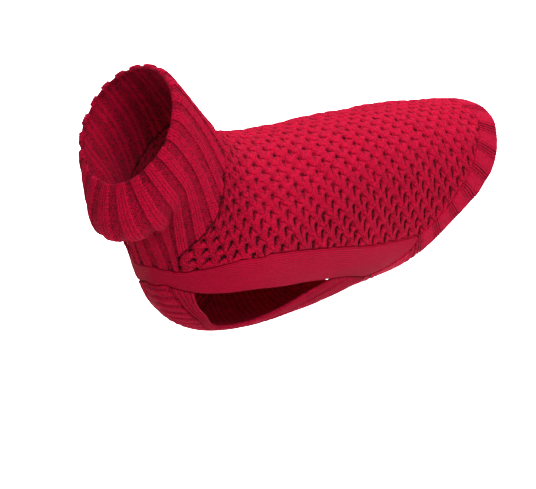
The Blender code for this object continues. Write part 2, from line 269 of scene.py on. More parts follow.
def shell(name, cloth, edge, pattern, knit, coarse, loop=False):
    """Closes a cloth into one thin shell, fine outside and coarser inside, ready for its relief.

    "lift" is how its outer face moves for each millimetre of relief, and "pattern" its place in that relief.
    """
    rows, columns = cloth.inner.shape[:2]
    row_step, column_step = coarse
    outer = cloth.inner + cloth.out * LEAST_WALL
    inside = cloth.inner[::row_step, ::column_step]
    rising = (cloth.out * edge[..., None] * MM).reshape(-1, 3)
    lift = np.concatenate((rising, np.zeros((inside[..., 0].size, 3))))
    outer_of = np.arange(rows * columns).reshape(rows, columns)
    inner_of = outer_of.size + np.arange(inside[..., 0].size).reshape(inside.shape[:2])
    if loop:
        outer_of = np.concatenate((outer_of, outer_of[:, :1]), axis=1)
        inner_of = np.concatenate((inner_of, inner_of[:, :1]), axis=1)

    def cells(index):
        corners = (index[:-1, :-1], index[1:, :-1], index[1:, 1:], index[:-1, 1:])
        return np.stack(corners, -1).reshape(-1, 4)

    faces = cells(outer_of).tolist() + cells(inner_of)[:, ::-1].tolist()
    rims = [
        (outer_of[0], inner_of[0], column_step),
        (outer_of[-1, ::-1], inner_of[-1, ::-1], column_step),
    ]
    if not loop:
        rims += [
            (outer_of[::-1, 0], inner_of[::-1, 0], row_step),
            (outer_of[:, -1], inner_of[:, -1], row_step),
        ]
    for outside, within, step in rims:
        for low in range(len(within) - 1):
            rim = outside[low * step:(low + 1) * step + 1]
            faces.append([int(point) for point in (*rim, within[low + 1], within[low])])
    points = np.concatenate((outer.reshape(-1, 3), inside.reshape(-1, 3))) * MM
    mesh = bpy.data.meshes.new(name)
    mesh.from_pydata(points.tolist(), [], faces)
    across = cloth.inner[0, 1] - cloth.inner[0, 0]
    along = cloth.inner[1, 0] - cloth.inner[0, 0]
    if np.cross(along, across) @ cloth.out[0, 0] < 0:
        mesh.flip_normals()
    mesh.shade_smooth()
    attributes = {"lift": lift}
    for label, table in (("pattern", pattern), ("stitches", knit)):
        within = table[::row_step, ::column_step]
        attributes[label] = np.concatenate((table.reshape(-1, 3), within.reshape(-1, 3)))
    for label, table in attributes.items():
        layer = mesh.attributes.new(label, "FLOAT_VECTOR", "POINT")
        layer.data.foreach_set("vector", table.astype(np.float32).ravel())
    piece = bpy.data.objects.new(name, mesh)
    bpy.context.scene.collection.objects.link(piece)
    return piece


# ---------------------------------------------------------------- nodes

SOFT = {"interpolation_type": "SMOOTHSTEP"}  # makes a Map Range node a soft step


def linear(hex_colour):
    """An sRGB hex colour as linear red, green, blue and alpha."""
    parts = [int(hex_colour[place:place + 2], 16) / 255 for place in (1, 3, 5)]
    return (*[c / 12.92 if c <= 0.04045 else ((c + 0.055) / 1.055) ** 2.4 for c in parts], 1.0)


def node(tree, kind, *values, **named):
    """Adds a node. A kind in capitals is an operation of the Math node.

    The values go to its inputs in order. Names with a capital are inputs, with _ for a space, and the others
    are settings. A node given as a value stands for its first output.
    """
    made = tree.nodes.new("ShaderNodeMath" if kind.isupper() else kind)
    if kind.isupper():
        made.operation = kind
    inputs = list(enumerate(values))
    for key, value in named.items():
        if key[0].isupper():
            inputs.append((key.replace("_", " "), value))
        else:
            setattr(made, key, value)
    for key, value in inputs:
        source = value.outputs[0] if isinstance(value, bpy.types.Node) else value
        if isinstance(source, bpy.types.NodeSocket):
            tree.links.new(source, made.inputs[key])
        else:
            made.inputs[key].default_value = source
    return made


def total(add, *values):
    """The sum of these values."""
    return reduce(partial(add, "ADD"), values)


def length(add, x, y):
    """The length of a flat vector."""
    return add("SQRT", add("ADD", add("MULTIPLY", x, x), add("MULTIPLY", y, y)))


# ---------------------------------------------------------------- the honeycomb's rule

# Pits lie where both diagonal counts are whole. From each pit a slit runs down and a thin one to the rear.
CELL, LEAN = 19.0, 6.6  # repeat along the body, and how far two rows lean towards the head
TWO_ROWS = 16.8  # two staggered rows round the body
PIT_WINDOW = (0.2, 0.72)  # share of a repeat before a pit, on each diagonal, that still belongs to it
DOWN_SLIT, REAR_SLIT = (-4.9, 11.0), (8.0, 4.6)  # their ends, in mm along and round the body from the pit
SLIT_MIDDLE = 0.6  # mm over which a slit's upper side passes into its lower side
SLIT_NARROWS = 0.45  # share of its width that a slit loses towards its end
SLIT_FADES = 3.0  # the power with which it grows shallow


def pit_offsets(add, first, second):
    """Millimetres along and round the body from the pit that this place belongs to."""
    first, second = [
        add("SUBTRACT", count, add("FLOOR", add("ADD", count, before)))
        for count, before in zip((first, second), PIT_WINDOW)
    ]
    x = add("ADD", add("MULTIPLY", first, (CELL - LEAN) / 2), add("MULTIPLY", second, (CELL + LEAN) / 2))
    return x, add("MULTIPLY", add("SUBTRACT", first, second), TWO_ROWS / 2)


def slit(add, offsets, end, above, below):
    """Depth, from 1 at the pit, of a slit that fades towards its end. It has its own width on either side."""
    (x, y), (end_x, end_y) = offsets, end
    reach = math.hypot(end_x, end_y)
    ahead = add("ADD", add("MULTIPLY", x, end_x / reach), add("MULTIPLY", y, end_y / reach))
    aside = add("SUBTRACT", add("MULTIPLY", y, end_x / reach), add("MULTIPLY", x, end_y / reach))
    run = add("MINIMUM", add("MAXIMUM", ahead, 0.0), reach)
    share = add("DIVIDE", run, reach)
    away = length(add, add("SUBTRACT", ahead, run), aside)
    width = add("ShaderNodeMapRange", aside, -SLIT_MIDDLE, SLIT_MIDDLE, above, below, **SOFT)
    width = add("MULTIPLY", width, add("SUBTRACT", 1.0, add("MULTIPLY", share, SLIT_NARROWS)))
    fade = add("SUBTRACT", 1.0, add("POWER", share, SLIT_FADES))
    return add("ShaderNodeMapRange", add("DIVIDE", away, width), 0.0, 1.0, fade, 0.0, **SOFT)


# ---------------------------------------------------------------- relief trees

FULLNESS = 0.6  # power below 1 that makes a strand or a wale round and full
RIB_FLANK = 0.03  # share of a rib over which its side drops, on either side of the edge


class Relief:
    """A Geometry Nodes tree that raises a knit's relief on a shell, and keeps the painted shade of its
    recesses at each place.
    """

    def __init__(self, name, sizes):
        self.tree = bpy.data.node_groups.new(name, "GeometryNodeTree")
        self.add = partial(node, self.tree)
        sockets = self.tree.interface
        sockets.new_socket("Geometry", in_out="INPUT", socket_type="NodeSocketGeometry")
        sockets.new_socket("Geometry", in_out="OUTPUT", socket_type="NodeSocketGeometry")
        for label, value in sizes.items():
            sockets.new_socket(label, in_out="INPUT", socket_type="NodeSocketFloat").default_value = value
        sockets.new_socket("Material", in_out="INPUT", socket_type="NodeSocketMaterial")
        self.given = self.add("NodeGroupInput").outputs
        self.x, self.y, self.z = self.add("ShaderNodeSeparateXYZ", self.stored("pattern")).outputs

    def stored(self, label):
        """A vector that the shell stores at its points."""
        return self.add("GeometryNodeInputNamedAttribute", data_type="FLOAT_VECTOR", Name=label)

    def finish(self, height, hollow_shade, kept=None):
        """Raises the shell by a height in mm, stores what the materials read, and sets its material."""
        raised = self.add(
            "ShaderNodeVectorMath", operation="SCALE", Vector=self.stored("lift"), Scale=height)
        shape = self.add("GeometryNodeSetPosition", Geometry=self.given["Geometry"], Offset=raised)
        for label, (kind, value) in {"hollow_shade": ("FLOAT", hollow_shade), **(kept or {})}.items():
            shape = self.add(
                "GeometryNodeStoreNamedAttribute", data_type=kind, domain="POINT",
                Geometry=shape, Name=label, Value=value)
        shape = self.add("GeometryNodeRealizeInstances", Geometry=shape)
        shape = self.add("GeometryNodeSetMaterial", Geometry=shape, Material=self.given["Material"])
        self.add("NodeGroupOutput", Geometry=shape)


def honeycomb_relief():
    """Strands crossing over and under on the diagonals, with a pit and its slits in each opening."""
    relief = Relief("honeycomb_relief", {
        "Ground": 1.3, "Strand rise": 2.3, "Rise on top": 0.9, "Under share": 0.55,
        "Crossing bump": 0.25, "Pit depth": 2.3, "Pit radius": 3.2,
        "Down slit above": 1.5, "Down slit below": 3.0, "Down slit on top": 0.25,
        "Rear slit above": 1.2, "Rear slit below": 3.4, "Rear slit share": 0.6,
        "Hollow shade": 0.25, "Unevenness": 0.22, "Uneven places": 0.9, "Seed": 7.0,
    })
    add, given, low = relief.add, relief.given, relief.z
    shake = add(
        "ShaderNodeTexNoise", noise_dimensions="4D", Vector=add("ShaderNodeCombineXYZ", relief.x, relief.y),
        W=given["Seed"], Scale=given["Uneven places"], Detail=2.0)
    parts = add("ShaderNodeSeparateXYZ", shake.outputs["Color"]).outputs
    first, second = [
        add("ADD", count, add("MULTIPLY", add("SUBTRACT", part, 0.5), given["Unevenness"]))
        for count, part in ((relief.x, parts[0]), (relief.y, parts[1]))
    ]
    offsets = pit_offsets(add, first, second)
    waves = [add("COSINE", add("MULTIPLY", count, 2 * math.pi)) for count in (first, second)]
    over, under = [add("POWER", add("MULTIPLY_ADD", wave, -0.5, 0.5), FULLNESS) for wave in waves]
    bump, on_top = given["Crossing bump"], given["Down slit on top"]
    crest = add("MULTIPLY", over, add("MULTIPLY_ADD", under, bump, add("SUBTRACT", 1.0, bump)))
    strand = add("MAXIMUM", crest, add("MULTIPLY", under, given["Under share"]))
    pit = add("ShaderNodeMapRange", length(add, *offsets), 0.0, given["Pit radius"], 1.0, 0.0, **SOFT)
    down = add(
        "MULTIPLY", slit(add, offsets, DOWN_SLIT, given["Down slit above"], given["Down slit below"]),
        add("MULTIPLY_ADD", low, add("SUBTRACT", 1.0, on_top), on_top))
    rear = add(
        "MULTIPLY", slit(add, offsets, REAR_SLIT, given["Rear slit above"], given["Rear slit below"]),
        given["Rear slit share"])
    deep = add("MAXIMUM", pit, add("MAXIMUM", down, rear))
    rise = add("MULTIPLY_ADD", low, add("SUBTRACT", 1.0, given["Rise on top"]), given["Rise on top"])
    height = total(
        add, given["Ground"],
        add("MULTIPLY", add("MULTIPLY", strand, given["Strand rise"]), rise),
        add("MULTIPLY", deep, add("MULTIPLY", given["Pit depth"], -1.0)),
    )
    # Painted shade where the strands dip under the crossing ones
    hollow_shade = add("MULTIPLY", add("SUBTRACT", 1.0, strand), given["Hollow shade"])
    lattice = add("ShaderNodeCombineXYZ", first, second, low)
    relief.finish(add("MAXIMUM", height, 0.0), hollow_shade, {"lattice": ("FLOAT_VECTOR", lattice)})
    return relief.tree


def rib_relief():
    """Ribs counted by the pattern's first part: a raised share of each, itself made of thin wales, with
    painted shade in the furrows, in the recessed strips and, from the pattern's second part, at the edges.
    """
    relief = Relief("rib_relief", {
        "Ground": 2.0, "Rib rise": 1.0, "Raised share": 0.55, "Wales": 4.0, "Wale rise": 0.5,
        "Furrow tone": 0.5, "Strip tone": 0.3,
    })
    add, given = relief.add, relief.given
    place = add("SUBTRACT", add("FRACT", add("ADD", relief.x, 0.5)), 0.5)
    past = add("SUBTRACT", add("ABSOLUTE", place), add("MULTIPLY", given["Raised share"], 0.5))
    raised = add("ShaderNodeMapRange", past, -RIB_FLANK, RIB_FLANK, 1.0, 0.0, **SOFT)
    turn = add("DIVIDE", add("MULTIPLY", place, given["Wales"]), given["Raised share"])
    turn = add("MULTIPLY_ADD", turn, math.pi, add("MULTIPLY", given["Wales"], math.pi / 2))
    wale = add("POWER", add("ABSOLUTE", add("SINE", turn)), FULLNESS)
    rise = add("ADD", given["Rib rise"], add("MULTIPLY", wale, given["Wale rise"]))
    between = add("MULTIPLY", raised, add("SUBTRACT", 1.0, wale))
    furrow = add("MULTIPLY", between, given["Furrow tone"])
    strip = add("MULTIPLY", add("SUBTRACT", 1.0, raised), given["Strip tone"])
    height = add("ADD", given["Ground"], add("MULTIPLY", raised, rise))
    relief.finish(height, total(add, furrow, strip, relief.y))
    return relief.tree


def knitted(piece, tree, material, **sizes):
    """Raises a shell's relief through a tree's named inputs, and leaves the result as a plain mesh."""
    modifier = piece.modifiers.new("relief", "NODES")
    modifier.node_group = tree
    sockets = {
        item.name: item.identifier for item in tree.interface.items_tree
        if item.item_type == "SOCKET" and item.in_out == "INPUT"
    }
    for label, value in sizes.items():
        modifier[sockets[label.replace("_", " ")]] = value
    modifier[sockets["Material"]] = material
    evaluated = piece.evaluated_get(bpy.context.evaluated_depsgraph_get())
    mesh = bpy.data.meshes.new_from_object(evaluated)
    piece.modifiers.clear()
    piece.data = mesh
    for label in ("lift", "pattern"):
        mesh.attributes.remove(mesh.attributes[label])


# ---------------------------------------------------------------- materials

# A stitch's drawing: how far its legs rise, how far it wanders, both in courses, and the power of its outline
V_STITCH, PURL_BAR = (1.7, 0.6, 0.5), (0.0, 0.2, 0.2)
WANDER_PLACES = 0.37  # waves of that wander to each stitch
# Stitches are painted lighter above this height share and take painted shade below it, in the gaps between
# them
MEAN_STITCH = 0.6  # height share of a stitch at which it is neither lighter nor darker than the yarn

# Single fibres are 0.02 mm thick. Hair is drawn at two thirds of a mm, tufts at 2 mm, so that they show.
HAIRS, TUFTS, PATCHES = 1.5, 0.52, 0.06  # waves to each mm
HAIR_TONE, TUFT_TONE, PATCH_TONE = 1.4, 1.8, 0.35  # how much lighter and darker each makes the yarn
HAIR_BUMP, TUFT_BUMP = 0.9, 1.2  # their heights, where a stitch's is 1

# The honeycomb's painted shade in its pits and slits: tones as (gain where its openings are stretched, tone
# on top), shades as widths in mm
PIT_TONE, DOWN_TONE, REAR_TONE = (0.15, 0.68), (0.7, 0.3), 0.45
PIT_SHADE, DOWN_SHADE, REAR_SHADE = (0.4, 3.2), (1.8, 2.8), (0.9, 1.8)
# Painted shade over the whole openwork where its openings are stretched, which darkens the lower flank
OPEN_PAINTED_SHADE = 0.18  # how much darker the whole knit is where its openings are stretched
DARK_BUMP = 1.5  # how deep the dark lies, where a stitch's height is 1

# One yarn in three brightnesses: a copy painted lighter for the openwork, and one painted darker for band,
# belly and trims
YARN, YARN_PAINTED_LIGHTER, YARN_PAINTED_DARKER = "#D20739", "#EE083F", "#BE0733"
# The dark colour that painted shade, and the darker specks of hair grain, mix towards
GAP_SHADE_AND_GRAIN, HAIR_SHEEN = "#36040E", "#FF4A7A"  # between the stitches, and on the hairs at grazing angles


def honeycomb_painted_shade(add):
    """The painted shade in the honeycomb's pits and slits, and how stretched its openings."""
    lattice = add("ShaderNodeAttribute", attribute_name="lattice").outputs["Vector"]
    first, second, low = add("ShaderNodeSeparateXYZ", lattice).outputs
    offsets = pit_offsets(add, first, second)
    pit = add("ShaderNodeMapRange", length(add, *offsets), *PIT_SHADE, 1.0, 0.0, **SOFT)
    pit = add("MULTIPLY", pit, add("MULTIPLY_ADD", low, *PIT_TONE))
    down = slit(add, offsets, DOWN_SLIT, *DOWN_SHADE)
    down = add("MULTIPLY", down, add("MULTIPLY_ADD", low, *DOWN_TONE))
    rear = add("MULTIPLY", slit(add, offsets, REAR_SLIT, *REAR_SHADE), REAR_TONE)
    return add("MAXIMUM", pit, add("MAXIMUM", down, rear)), low


def knitted_yarn(name, lit, stitch_height, stitch=V_STITCH, stitch_shade=0.7, grain=1.0, honeycomb=False):
    """Brushed acrylic yarn, knitted: matt and slightly hairy, its stitches V's, or bars on the purl side.

    The stitch map counts wales and courses, and adds a painted shade; more painted shade lies between the
    stitches.
    Hair scatters light at grazing angles, which is the faint sheen.
    """
    material = bpy.data.materials.new(name)
    material.use_nodes = True
    tree = material.node_tree
    add = partial(node, tree)
    stitches = add("ShaderNodeAttribute", attribute_name="stitches").outputs["Vector"]
    wale, course, shade = add("ShaderNodeSeparateXYZ", stitches).outputs
    rise, wander, outline = stitch
    drift = add("ShaderNodeTexNoise", Vector=stitches, Scale=WANDER_PLACES, Detail=2.0)
    leg = add("ABSOLUTE", add("SUBTRACT", add("FRACT", wale), 0.5))
    place = total(add, course, add("MULTIPLY", leg, rise), add("MULTIPLY", drift, wander))
    bar = add("SINE", add("MULTIPLY", add("FRACT", place), math.pi))
    between = add("MAXIMUM", add("SINE", add("MULTIPLY", leg, 2 * math.pi)), 0.0)
    height = add("MULTIPLY", bar, add("POWER", between, outline))
    where = add("ShaderNodeTexCoord").outputs["Object"]
    hair = add("ShaderNodeTexNoise", Vector=where, Scale=HAIRS / MM, Detail=3.0, Roughness=0.7)
    tufts = add("ShaderNodeTexNoise", Vector=where, Scale=TUFTS / MM, Detail=2.0)
    patches = add("ShaderNodeTexNoise", Vector=where, Scale=PATCHES / MM, Detail=4.0)
    tone = total(
        add, add("ShaderNodeAttribute", attribute_name="hollow_shade").outputs["Fac"], shade,
        add("MULTIPLY", add("SUBTRACT", MEAN_STITCH, height), stitch_shade),
        add("MULTIPLY", add("SUBTRACT", hair, 0.5), HAIR_TONE * grain),
        add("MULTIPLY", add("SUBTRACT", tufts, 0.5), TUFT_TONE * grain),
        add("MULTIPLY", add("SUBTRACT", patches, 0.5), PATCH_TONE),
    )
    relief = total(add, height, add("MULTIPLY", hair, HAIR_BUMP), add("MULTIPLY", tufts, TUFT_BUMP))
    if honeycomb:
        dark, low = honeycomb_painted_shade(add)
        tone = total(add, tone, dark, add("MULTIPLY", low, OPEN_PAINTED_SHADE))
        relief = add("SUBTRACT", relief, add("MULTIPLY", dark, DARK_BUMP))
    bump = add("ShaderNodeBump", Strength=1.0, Distance=stitch_height * MM, Height=relief)
    colour = add("ShaderNodeMix", tone, data_type="RGBA", clamp_factor=True)
    lit_input, gap_input = colour.inputs[6:8]
    lit_input.default_value, gap_input.default_value = linear(lit), linear(GAP_SHADE_AND_GRAIN)
    shader = tree.nodes["Principled BSDF"]
    tree.links.new(colour.outputs[2], shader.inputs["Base Color"])
    tree.links.new(bump.outputs[0], shader.inputs["Normal"])
    shader.inputs["Roughness"].default_value = 0.95
    shader.inputs["Specular IOR Level"].default_value = 0.1
    shader.inputs["Sheen Weight"].default_value = 0.12
    shader.inputs["Sheen Roughness"].default_value = 0.4
    shader.inputs["Sheen Tint"].default_value = linear(HAIR_SHEEN)
    return material


# The yarn painted lighter, as a lit copy, in openwork: its pits and slits carry painted shade that is nearly
# black
honeycomb_yarn = knitted_yarn("acrylic_yarn_honeycomb", YARN_PAINTED_LIGHTER, 1.0, honeycomb=True)
# The same yarn in ribs, pulled tighter: V's up each wale, with painted shade between them
rib_yarn = knitted_yarn("acrylic_yarn_rib", YARN, 0.5)
# Jersey with its purl side out, in the yarn painted darker as a shaded copy: rows of small bars along the
# band, and little hair
jersey_yarn = knitted_yarn("acrylic_yarn_jersey", YARN_PAINTED_DARKER, 0.6, PURL_BAR, stitch_shade=0.9, grain=0.5)
# The thinner knit of belly panel and trims, in the yarn painted darker as a shaded copy: small flat V's
belly_yarn = knitted_yarn("acrylic_yarn_belly", YARN_PAINTED_DARKER, 0.4)

honeycomb, ribs = honeycomb_relief(), rib_relief()


def dress(piece, node_name):
    """Attaches a finished shell to the root and hides the model's part named by the node that it stands for.
    """
    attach(piece, "root")
    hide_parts(node_name)


# ---------------------------------------------------------------- creases and swells

CREASES = (
    # from (ring, angle), over, to, half width in mm, depth in mm (below 0 a ridge)
    ((8.7, 120), (8.2, 100), (7.7, 80), 9, 1.6),
    ((8.8, 100), (8.3, 84), (7.6, 66), 8, 1.2),
    ((8.6, 136), (8.1, 118), (7.5, 98), 7, -1.4),
    ((6.4, 84), (5.9, 74), (5.3, 70), 11, 1.1),
    ((3.9, 100), (3.4, 88), (2.9, 84), 10, 1.0),
    ((5.2, 92), (4.7, 84), (4.1, 80), 12, -0.9),
    ((8.8, -112), (8.2, -96), (7.6, -78), 9, 1.5),
    ((8.6, -132), (8.0, -112), (7.4, -92), 8, -1.3),
    ((6.2, -86), (5.6, -72), (4.9, -66), 11, 1.2),
    ((4.1, -98), (3.6, -90), (3.0, -80), 10, 1.0),
    ((8.4, 20), (8.1, 4), (8.3, -16), 7, 1.0),
)
CREASE_STATIONS = 25
CREASE_END = 0.04  # share of a crease at which it keeps the depth of its ends

WAVES = (
    # length of a slow swell in mm along x, y, z, its height in mm and its start
    (93, 71, 64, 0.55, 0.4),
    (47, 58, 39, 0.30, 2.1),
    (29, 33, 37, 0.16, 4.0),
)
BAND_SWELL, BELLY_SWELL, HEM_SWELL, COLLAR_SWELL = 0.6, 0.5, 0.6, 0.7  # share that firmer pieces take


def creased(points):
    """How far each point lies below the smooth figure, from the listed creases."""
    depth = np.zeros(points.shape[:-1])
    for first, middle, last, width, deep in CREASES:
        marks = np.linspace(0, 2, CREASE_STATIONS)
        path = figure(spline((first, middle, last), marks))
        apart = np.linalg.norm(points[..., None, :] - path, axis=-1)
        nearest = apart.min(axis=-1)
        place = np.clip(marks[apart.argmin(axis=-1)] / 2, CREASE_END, 1 - CREASE_END)
        depth += deep * np.exp(-(nearest / width) ** 2) * np.sin(np.pi * place)
    return depth


def swells(points):
    """The slow unevenness of soft cloth."""
    height = np.zeros(points.shape[:-1])
    for x, y, z, high, start in WAVES:
        phase = 2 * np.pi * (points[..., 0] / x + points[..., 2] / z) + start
        height += high * np.sin(phase) * np.cos(2 * np.pi * points[..., 1] / y + 2 * start)
    return height


# ---------------------------------------------------------------- distances along and round the body

LAST_RING, HALF_TURN = 12, 180
MAP_STEPS = 20  # stations of the map from one ring to the next
ORIGIN_RING = 4  # distances along the body count from here towards the head
JUST_INSIDE = 0.001  # keeps the last places off the map's last grid line

map_rings = np.linspace(0, LAST_RING, LAST_RING * MAP_STEPS + 1)
map_turns = np.linspace(0, HALF_TURN, HALF_TURN + 1)
map_points = figure(vectors(map_rings[:, None], map_turns))
map_along = distances(map_points, 0)
map_along = map_along[ORIGIN_RING * MAP_STEPS] - map_along
map_round = distances(map_points, 1)


def looked_up(table, places):
    """A table's values at (ring, angle), read between its grid points."""
    ring = np.clip(places[..., 0] * MAP_STEPS, 0, LAST_RING * MAP_STEPS - JUST_INSIDE)
    turn = np.clip(np.abs(places[..., 1]), 0, HALF_TURN - JUST_INSIDE)
    row, column = ring.astype(int), turn.astype(int)
    down, across = ring - row, turn - column
    near = table[row, column] * (1 - across) + table[row, column + 1] * across
    far = table[row + 1, column] * (1 - across) + table[row + 1, column + 1] * across
    return near * (1 - down) + far * down


# ---------------------------------------------------------------- back panel: honeycomb

LATTICE = (
    # repeats along, then rows round: at the start, for along, round, along squared, both and round squared
    (7.83, 5.51, 2.33, 0.145, -0.334, -0.348),
    (-3.46, 0.374, 6.053, -0.018, -0.451, -0.043),
)
HUNDRED = 100.0  # the lattice's measures are in hundreds of mm
SPINE_ROW = -3.5
SPINE_EASE, LEAN_EASE = 0.6, 0.15  # round the middle of the back, over which the rows come level
LOW_FROM, LOW_TO = 45.0, 88.0  # degrees round, between which the slits grow
CLOSED_SHARE = 0.35  # how open the cells still are at the neckline, where they are pressed shut
CLOSED_REACH = (8.0, 55.0)  # mm from the neckline over which they open
# Painted shade near the neckline, standing for the shadow under the head and the cells pressed shut
PRESSED_PAINTED_SHADE = 0.16  # how much darker they are there
# Painted shade along the deep seam groove to the collar
SEAM_PAINTED_SHADE, SEAM_REACH = 0.45, 3.0  # the seam to the collar lies deep between the stitches
BACK_ROWS, BACK_HALF = 336, 140
NECK_ROUND, SEAM_ROUND = 4.0, 1.2  # mm over which an edge is rounded, at the neckline and at other seams
WALE, COURSE = 3.3, 2.7  # one stitch's width and height


def lattice_count(terms, along, around, lean):
    """Repeats counted at a distance along and round the body."""
    start, by_along, by_round, bend, twist, spread = terms
    straight = start + by_along * along + by_round * lean
    return straight + bend * along**2 + twist * along * lean + spread * around**2


neckline = spaced(NECKLINE, BACK_HALF)
hem_back = spaced(HEM_BACK, BACK_HALF)
back_side = spaced(BAND_UPPER, BACK_ROWS, last=TRIM_FRONT)[::-1]
spine_ends = np.array((NECKLINE[0], HEM_BACK[0]), float)
level = (back_side[:, :1] - back_side[0, 0]) / (back_side[-1, 0] - back_side[0, 0])
level_spine = spine_ends[0] + level * (spine_ends[1] - spine_ends[0])
spine = (1 - SPINE_EVEN) * level_spine + SPINE_EVEN * spaced(spine_ends, BACK_ROWS)
back = Cloth(both_sides(patch(neckline, hem_back, spine, back_side)))

along_body = looked_up(map_along, back.places)
round_body = looked_up(map_round, back.places)
far_along, far_round = along_body / HUNDRED, round_body / HUNDRED
eased = np.sqrt(far_round**2 + LEAN_EASE**2) - LEAN_EASE
cell = lattice_count(LATTICE[0], far_along, far_round, eased)
row = lattice_count(LATTICE[1], far_along, far_round, far_round)
off_level = lattice_count(LATTICE[1], far_along, 0.0, 0.0) - SPINE_ROW
row = row - off_level * (1 - smooth(far_round, 0, SPINE_EASE))
opened = CLOSED_SHARE + (1 - CLOSED_SHARE) * smooth(back.from_edges("first_row"), *CLOSED_REACH)
low = smooth(np.abs(back.places[..., 1]), LOW_FROM, LOW_TO) * opened
edge = rounded(back.from_edges("first_row"), NECK_ROUND)
edge = edge * rounded(back.from_edges("last_row", "first_column", "last_column"), SEAM_ROUND)
back.push(swells(back.inner) - creased(back.inner))
neck_reach = back.from_edges("first_row")
# Painted shade: darker near the neckline, and darkest in the seam to the collar
shade = PRESSED_PAINTED_SHADE * (1 - smooth(neck_reach, *CLOSED_REACH))
shade = shade + SEAM_PAINTED_SHADE * (1 - smooth(neck_reach, 0, SEAM_REACH))
stitches = vectors(round_body / WALE * np.sign(back.places[..., 1]), along_body / COURSE, shade)
piece = shell("back_honeycomb", back, edge, vectors(cell + row, cell - row, low), stitches, (4, 4))
knitted(piece, honeycomb, honeycomb_yarn)
dress(piece, "back_panel")

# ---------------------------------------------------------------- border band: jersey

BAND_ROWS_FLANK, BAND_ROWS_CHEST, BAND_COLUMNS = 240, 60, 24
JERSEY_WALL = 2.3
JERSEY_WALE, JERSEY_COURSE = 2.6, 2.3
# Painted shade where the band's edges round down into their seams
BAND_ROUND, BAND_EDGE_SHADE = 2.4, 0.2  # of its lower edge, in mm, and how much darker each edge is


def band_edge(rows):
    """One long edge of the band, its chest part spaced apart from its flank part."""
    flank = spaced(rows, BAND_ROWS_FLANK, last=TRIM_FRONT)
    return np.concatenate((flank, spaced(rows, BAND_ROWS_CHEST, TRIM_FRONT)[1:]))


band_end = spaced(BAND_END, BAND_COLUMNS)
chest_middle = spaced((BAND_UPPER[-1], BAND_LOWER[-1]), BAND_COLUMNS)
band_half = patch(band_end, chest_middle, band_edge(BAND_UPPER), band_edge(BAND_LOWER))
band = Cloth(np.swapaxes(both_sides(np.swapaxes(band_half, 0, 1), middle_first=False), 0, 1))
band.push(BAND_SWELL * swells(band.inner) - creased(band.inner))
edge = rounded(band.from_edges("first_row", "last_row", "first_column"), SEAM_ROUND)
edge = edge * rounded(band.from_edges("last_column"), BAND_ROUND)
stitches = vectors(distances(band.inner, 0) / JERSEY_WALE, distances(band.inner, 1) / JERSEY_COURSE, 0)
piece = shell("band_jersey", band, edge, vectors(0, BAND_EDGE_SHADE * (1 - edge), 0), stitches, (2, 2))
knitted(
    piece, ribs, jersey_yarn,
    Ground=JERSEY_WALL, Rib_rise=0.0, Wale_rise=0.0, Furrow_tone=0.0, Strip_tone=0.0)
dress(piece, "border_band")

# ---------------------------------------------------------------- belly panel: ribs across

BELLY_RIBS, ROWS_A_RIB, BELLY_HALF = 32, 8, 48
BELLY_ROWS = BELLY_RIBS * ROWS_A_RIB
REAR_ROWS = BELLY_ROWS // 4  # from the hem to the leg trims
BELLY_WALL, BELLY_RISE = 1.7, 1.3
BELLY_WALES = 3  # drawn to a rib
# Painted shade where the belly panel's edges round down
BELLY_ROUND, BELLY_EDGE_SHADE = 2.0, 0.4

rear_side = spaced(BAND_LOWER, REAR_ROWS, last=TRIM_REAR)
side_line = np.concatenate((rear_side, spaced(TRIM_SEAM, BELLY_ROWS - REAR_ROWS)[1:]))
belly_middle = spaced((HEM_BELLY[-1], BAND_LOWER[-1]), BELLY_ROWS)
chest_lower = spaced(BAND_LOWER, BELLY_HALF, TRIM_FRONT)
belly_half = patch(spaced(HEM_BELLY, BELLY_HALF), chest_lower, side_line, belly_middle)
belly = Cloth(both_sides(belly_half, middle_first=False))
belly.push(BELLY_SWELL * swells(belly.inner))
edge = rounded(belly.from_edges("first_row", "last_row", "first_column", "last_column"), BELLY_ROUND)
rib_place = np.arange(BELLY_ROWS + 1)[:, None] / BELLY_ROWS * BELLY_RIBS
stitches = vectors(rib_place * BELLY_WALES, distances(belly.inner, 1) / COURSE, 0)
piece = shell("belly_rib", belly, edge, vectors(rib_place, BELLY_EDGE_SHADE * (1 - edge), 0), stitches, (2, 2))
knitted(
    piece, ribs, belly_yarn,
    Ground=BELLY_WALL, Rib_rise=0.0, Raised_share=1.0, Wales=1.0, Wale_rise=BELLY_RISE, Furrow_tone=0.5)
dress(piece, "belly_panel")

# ---------------------------------------------------------------- leg trims: ribs lengthwise

TRIM_ROWS, TRIM_COLUMNS, TRIM_RIBS = 200, 32, 4
TRIM_WALL, TRIM_RISE = 1.8, 1.0
# Painted shade where the trims' edges round down
TRIM_ROUND, TRIM_EDGE_SHADE = 1.6, 0.4

